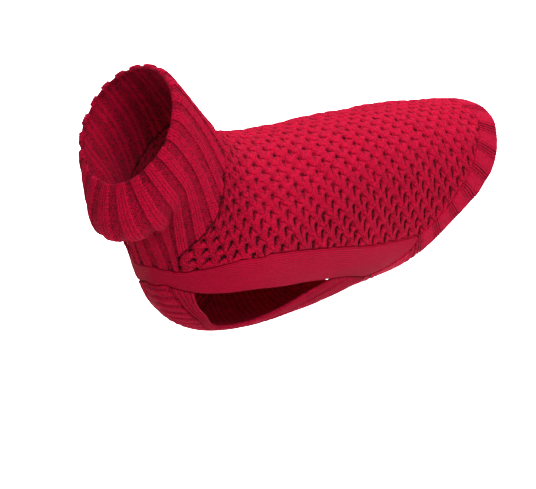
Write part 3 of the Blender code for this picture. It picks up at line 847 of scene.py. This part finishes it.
trim_rear = spaced(BAND_LOWER, TRIM_COLUMNS, TRIM_REAR, LEG_REAR)
trim_front = spaced(BAND_LOWER, TRIM_COLUMNS, LEG_FRONT, TRIM_FRONT)[::-1]
left_trim = patch(trim_rear, trim_front, spaced(TRIM_SEAM, TRIM_ROWS), spaced(LEG_EDGE, TRIM_ROWS))
rib_place = np.arange(TRIM_COLUMNS + 1) / TRIM_COLUMNS * TRIM_RIBS
for name, sign in (("left", 1), ("right", -1)):
    trim = Cloth(left_trim * (1, sign))
    edge = rounded(trim.from_edges("first_column", "last_column"), TRIM_ROUND)
    edge = edge * rounded(trim.from_edges("first_row", "last_row"), TRIM_ROUND)
    stitches = vectors(rib_place, distances(trim.inner, 0) / COURSE, 0)
    pattern = vectors(rib_place, TRIM_EDGE_SHADE * (1 - edge), 0)
    piece = shell("leg_rib_" + name, trim, edge, pattern, stitches, (2, 2))
    knitted(
        piece, ribs, belly_yarn,
        Ground=TRIM_WALL, Rib_rise=0.0, Raised_share=1.0, Wales=1.0, Wale_rise=TRIM_RISE, Furrow_tone=0.7)
    dress(piece, "leg_trim_" + name)

# ---------------------------------------------------------------- rump hem: groups of fine ribs

COLUMNS_A_GROUP, HEM_ROWS = 44, 14
HEM_WALL, HEM_RISE, HEM_WALES = 2.8, 1.3, 4.0
HEM_STITCHES = 8  # wales drawn to a group
# Painted shade where the hem's edges round down
HEM_ROUND, HEM_EDGE_SHADE = 2.6, 0.25
HEM_PARTS = (
    # seam line, free edge, and how many groups each half has along them
    (HEM_BACK, EDGE_BACK, 8),
    (BAND_END, EDGE_SIDE, 1),
    (HEM_BELLY, EDGE_BELLY, 3),
)

seam_line, edge_line = [], []
for seam_rows, edge_rows, groups in HEM_PARTS:
    count = groups * COLUMNS_A_GROUP
    skip = 1 if seam_line else 0
    seam_line.append(spaced(seam_rows, count)[skip:])
    edge_line.append(spaced(edge_rows, count)[skip:])
seam_line, edge_line = np.concatenate(seam_line), np.concatenate(edge_line)
depth = np.linspace(0, 1, HEM_ROWS + 1)[:, None, None]
hem_half = (1 - depth) * seam_line + depth * edge_line
hem = Cloth(both_sides(hem_half, middle_first=False)[:, :-1])
hem.push(HEM_SWELL * swells(hem.inner))
group_place = np.arange(hem.inner.shape[1]) / COLUMNS_A_GROUP
edge = rounded(hem.from_edges("first_row"), SEAM_ROUND) * rounded(hem.from_edges("last_row"), HEM_ROUND)
stitches = vectors(group_place * HEM_STITCHES, distances(hem.inner, 0) / COURSE, 0)
pattern = vectors(group_place, HEM_EDGE_SHADE * (1 - edge), 0)
piece = shell("hem_rib", hem, edge, pattern, stitches, (2, 4), loop=True)
knitted(
    piece, ribs, rib_yarn,
    Ground=HEM_WALL, Rib_rise=-1.1, Raised_share=0.45, Wales=HEM_WALES, Wale_rise=HEM_RISE,
    Furrow_tone=1.4, Strip_tone=0.08)
dress(piece, "rump_hem")

# ---------------------------------------------------------------- collar: wide ribs

NECK_RIBS, CHEST_RIBS = 8, 2  # wide ribs on each half, along the neckline and along the band's chest part
COLUMNS_A_RIB, COLLAR_STEPS = 40, 96
RAISED_SHARE, RAISED_WALES = 0.55, 4.0
RECESS_FLANK = (-0.03, 0.04)  # where the recess starts and is full, past the raised share
COLLAR_WALL, COLLAR_RISE, WALE_RISE = 1.7, 1.3, 0.7
# Painted shade where the collar's edges round down
RIM_ROUND, RIM_SHADE = 2.2, 0.3
RECESS_ROUND = 5.0  # more rounding at the seam in each recess, which makes the seam's edge scalloped

seam_half = np.concatenate((
    spaced(NECKLINE, NECK_RIBS * COLUMNS_A_RIB),
    spaced(BAND_UPPER, CHEST_RIBS * COLUMNS_A_RIB, TRIM_FRONT)[1:],
))
profile = spline(COLLAR_ROWS, np.linspace(0, len(COLLAR_ROWS) - 1, COLLAR_STEPS + 1))
share, stand_round, stand_chin, sag_chin = profile.T[:, :, None]
ease = smooth(share, 0, EVEN_BY)
turns = (1 - ease) * seam_half[:, 1] + ease * np.linspace(0, 180, len(seam_half))
collar_half = np.stack((seam_half[:, 0] + share * (COLLAR_TOP - seam_half[:, 0]), turns), -1)
collar = Cloth(both_sides(collar_half, middle_first=False)[:, :-1])
chin = np.exp(-((collar.places[..., 1] - 180) / CHIN_SPREAD) ** 2)
stand = stand_round * (1 - chin) + stand_chin * chin
neck_base, neck_top = [figure(np.array(((ring, 0), (ring, 180)))) for ring in (NECKLINE[0][0], COLLAR_TOP)]
neck_axis = unit(neck_top.mean(axis=0) - neck_base.mean(axis=0))
collar.inner = collar.inner + collar.out * stand[..., None] - neck_axis * (sag_chin * chin)[..., None]
up_step = np.gradient(collar.inner, axis=0)
round_step = np.roll(collar.inner, -1, axis=1) - np.roll(collar.inner, 1, axis=1)
collar.out = unit(np.cross(up_step, round_step))
collar.push(COLLAR_SWELL * swells(collar.inner))
rib_place = np.arange(collar.inner.shape[1]) / COLUMNS_A_RIB
past_raised = np.abs((rib_place + 0.5) % 1 - 0.5) - RAISED_SHARE / 2
recessed = smooth(past_raised, *RECESS_FLANK)
seam_edge = rounded(collar.from_edges("first_row"), RIM_ROUND + RECESS_ROUND * recessed)
edge = seam_edge * rounded(collar.from_edges("last_row"), RIM_ROUND)
stitches = vectors(rib_place * RAISED_WALES / RAISED_SHARE, distances(collar.inner, 0) / COURSE, 0)
pattern = vectors(rib_place, SEAM_PAINTED_SHADE * (1 - seam_edge) + RIM_SHADE * (1 - edge), 0)
piece = shell("collar_rib", collar, edge, pattern, stitches, (2, 4), loop=True)
knitted(
    piece, ribs, rib_yarn,
    Ground=COLLAR_WALL, Rib_rise=COLLAR_RISE, Raised_share=RAISED_SHARE, Wales=RAISED_WALES,
    Wale_rise=WALE_RISE, Furrow_tone=0.55, Strip_tone=0.42)
dress(piece, "collar")

# ---------------------------------------------------------------- floor and light

FLOOR_LEVEL, FLOOR_SIZE = -0.9, 40
bpy.ops.mesh.primitive_plane_add(size=FLOOR_SIZE, location=(0, 0, FLOOR_LEVEL))
floor = bpy.context.object
floor.name = "floor"
# Matt studio paper, pressed smooth: an even white without gloss
paper = bpy.data.materials.new("white_paper")
paper.use_nodes = True
paper.node_tree.nodes["Principled BSDF"].inputs["Base Color"].default_value = linear("#F6F6F6")
paper.node_tree.nodes["Principled BSDF"].inputs["Roughness"].default_value = 0.9
floor.data.materials.append(paper)

world = bpy.data.worlds.new("studio")
bpy.context.scene.world = world
world.use_nodes = True
world.node_tree.nodes["Background"].inputs["Color"].default_value = (1, 1, 1, 1)
world.node_tree.nodes["Background"].inputs["Strength"].default_value = 0.22

LAMPS = (
    # name, place, size in metres, watts, spread in degrees, where it points
    ("key", (-0.95, -1.85, 1.85), 1.8, 51, 150, CAMERA_TARGET),
    ("fill", (0.9, -1.9, 0.9), 1.2, 3, 150, CAMERA_TARGET),
    ("back", (0.9, 1.5, 1.6), 1.0, 8, 150, CAMERA_TARGET),
    ("backdrop", (3.1, 2.9, 3.0), 6.0, 600, 90, Vector((3.1, 2.9, FLOOR_LEVEL))),
)
for name, place, size, watts, spread, aim in LAMPS:
    lamp = bpy.data.lights.new(name, "AREA")
    lamp.shape = "DISK"
    lamp.size = size
    lamp.energy = watts
    lamp.spread = math.radians(spread)
    holder = bpy.data.objects.new(name, lamp)
    holder.location = place
    holder.rotation_euler = (Vector(place) - aim).to_track_quat("Z", "Y").to_euler()
    bpy.context.scene.collection.objects.link(holder)
bpy.context.scene.view_settings.view_transform = "Standard"
